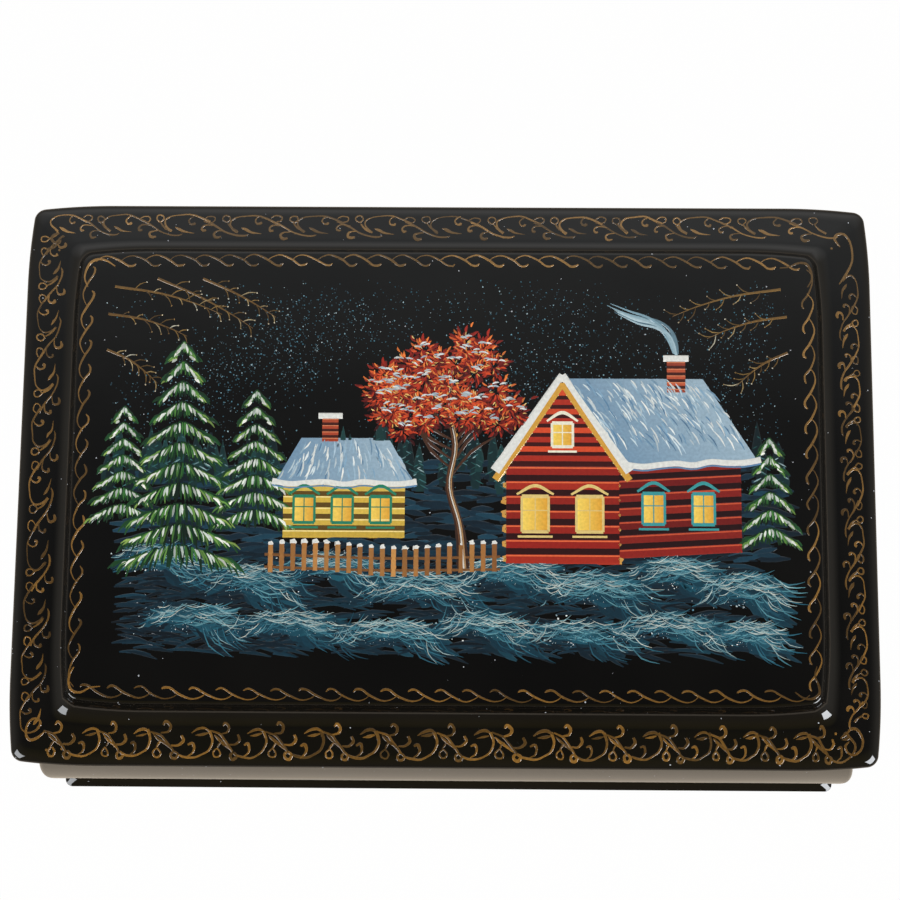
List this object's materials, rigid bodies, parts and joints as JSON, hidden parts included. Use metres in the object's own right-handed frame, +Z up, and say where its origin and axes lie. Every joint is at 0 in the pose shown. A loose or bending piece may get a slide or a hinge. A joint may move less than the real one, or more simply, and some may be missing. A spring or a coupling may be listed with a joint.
{
  "type": "lacquer box",
  "caption": "Oblong lacquered papier-mache box with swelling walls on a plinth and an overhanging moulded lid that opens on hinges at the back.",
  "frame": {"origin": "on the table under the middle of the box", "axes": "+X along the length to the right, -Y to the front, +Y to the back where the hinges are, +Z up"},
  "size_m": [0.15, 0.1004, 0.0643],
  "materials": {
    "black_lacquer": "gloss",
    "red_lacquer": "gloss",
    "hinge_brass": "satin",
    "pin_steel": "satin",
    "brad_brass": "polished"
  },
  "bodies": {
    "box": {"plinth_frame": "black_lacquer", "wall_shell": "black_lacquer", "bottom_plate": "red_lacquer", "body_hinge_leaf_left": "hinge_brass", "body_hinge_leaf_right": "hinge_brass", "hinge_pin_left": "pin_steel", "hinge_pin_right": "pin_steel", "body_leaf_brads": "brad_brass"},
    "lid": {"lid_shell": "black_lacquer", "lid_lip_frame": "red_lacquer", "lid_hinge_leaf_left": "hinge_brass", "lid_hinge_leaf_right": "hinge_brass", "lid_leaf_brads": "brad_brass"}
  },
  "joints": [
    {"name": "lid_hinge", "type": "hinge", "parent": "box", "child": "lid", "pos_m": [0, 0.047, 0.0563], "axis": [-1, 0, 0], "range_deg": [0, 98]}
  ]
}
